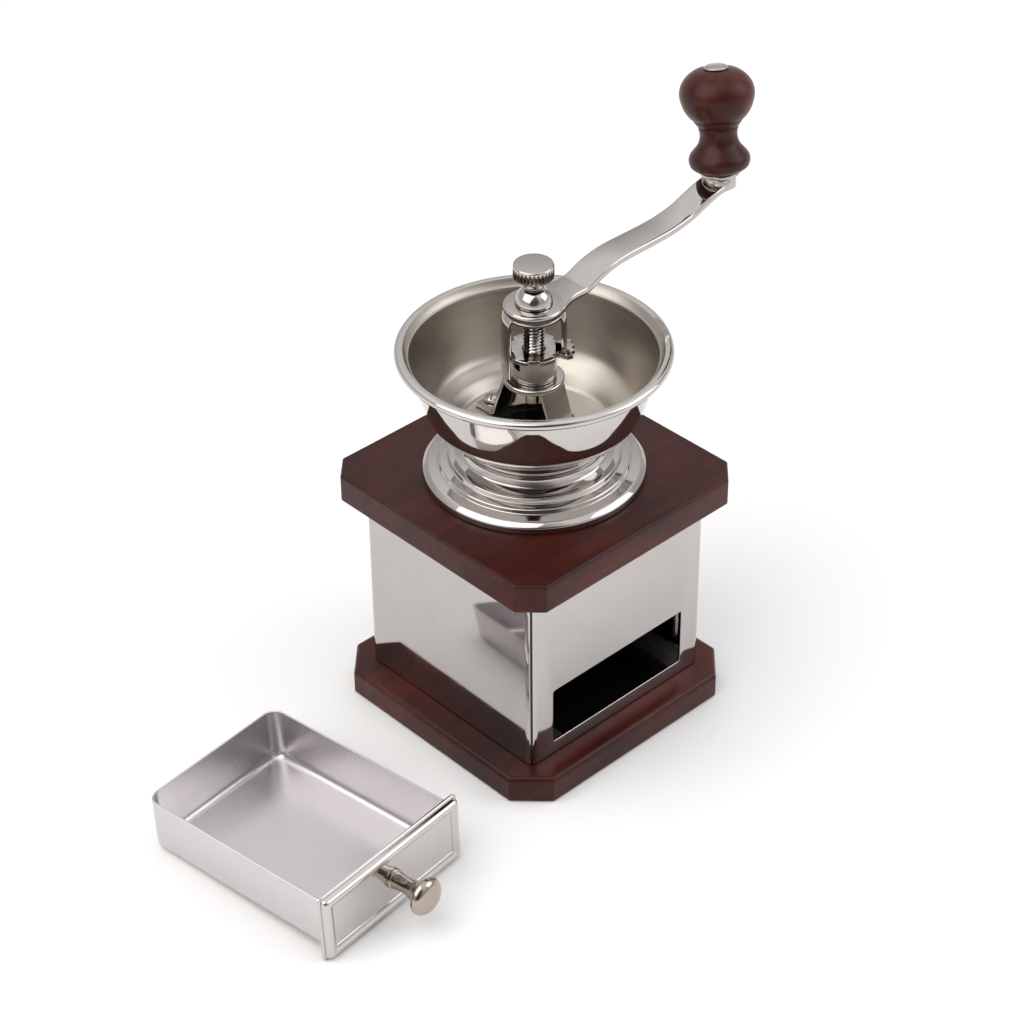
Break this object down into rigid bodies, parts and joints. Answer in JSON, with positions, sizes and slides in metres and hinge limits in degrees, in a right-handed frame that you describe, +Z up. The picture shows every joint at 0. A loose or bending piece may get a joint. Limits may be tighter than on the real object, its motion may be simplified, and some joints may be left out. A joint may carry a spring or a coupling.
{
  "type": "burr coffee grinder",
  "caption": "Hand-cranked burr coffee grinder: square steel housing between wooden plates, open hopper bowl, crank arm with turned grip, and its drawer set down beside it.",
  "frame": {"origin": "on the table under the crank's axis, at the middle of the base plate's underside", "axes": "+Z up along the crank's axis, -Y out of the drawer slot, +X along the crank arm at rest"},
  "size_m": [0.2917, 0.1367, 0.2421],
  "materials": {
    "wood": "dark red-brown stain, satin lacquer",
    "mirror_steel": "mirror polish",
    "satin_steel": "fine satin brushing",
    "chrome_plate": "bright plate",
    "burr_iron": "as cast, ground edges",
    "zinc": "zinc plated",
    "bush_bronze": "sintered bronze, oiled"
  },
  "bodies": {
    "housing": {"base_plate": "wood", "top_plate": "wood", "body_shell": "mirror_steel", "drawer_runner_left": "satin_steel", "drawer_runner_right": "satin_steel", "tie_rod_1": "zinc", "tie_rod_2": "zinc", "tie_rod_3": "zinc", "tie_rod_4": "zinc", "neck_flange": "chrome_plate", "burr_ring": "burr_iron", "clamp_screw_1": "zinc", "clamp_screw_2": "zinc", "clamp_screw_3": "zinc", "hopper_bowl": "satin_steel", "bearing_bracket": "chrome_plate", "bearing_bush": "bush_bronze", "foot_screw_front": "chrome_plate", "foot_screw_back": "chrome_plate"},
    "turning_washer": {"thrust_washer": "bush_bronze"},
    "adjuster": {"adjusting_nut": "chrome_plate"},
    "spindle": {"drive_shaft": "chrome_plate", "burr_cone": "burr_iron", "burr_washer": "zinc", "burr_nut": "zinc", "lock_clip": "chrome_plate", "crank_arm": "chrome_plate", "dome_nut": "chrome_plate", "grip_pin": "chrome_plate", "grip_washer": "zinc"},
    "thumb_nut": {"thumb_nut": "chrome_plate"},
    "grip": {"grip": "wood"},
    "drawer": {"drawer_tray": "satin_steel", "drawer_front": "mirror_steel", "drawer_knob": "chrome_plate", "knob_screw": "zinc"}
  },
  "joints": [
    {"name": "crank_turn", "type": "hinge", "parent": "housing", "child": "turning_washer", "pos_m": [0, 0, 0.1515], "axis": [0, 0, 1], "continuous": true},
    {"name": "nut_turn", "type": "hinge", "parent": "turning_washer", "child": "adjuster", "pos_m": [0, 0, 0.157], "axis": [0, 0, 1], "range_deg": [-50, 50]},
    {"name": "grind_lift", "type": "slide", "parent": "turning_washer", "child": "spindle", "axis": [0, 0, 1], "range_m": [-0.000208, 0.000208]},
    {"name": "thumb_nut_turn", "type": "hinge", "parent": "spindle", "child": "thumb_nut", "pos_m": [0, 0, 0.195], "axis": [0, 0, 1], "range_deg": [0, 360]},
    {"name": "grip_spin", "type": "hinge", "parent": "spindle", "child": "grip", "pos_m": [0.1009, 0, 0.198], "axis": [0.0852, 0.1813, 0.9797], "continuous": true},
    {"name": "drawer_slide", "type": "slide", "parent": "housing", "child": "drawer", "axis": [0.108, -0.9942, 0], "range_m": [0, 0.088]}
  ],
  "couplings": [
    {"joint": "nut_turn", "follows": "grind_lift", "rad_per_m": -4188.8}
  ]
}
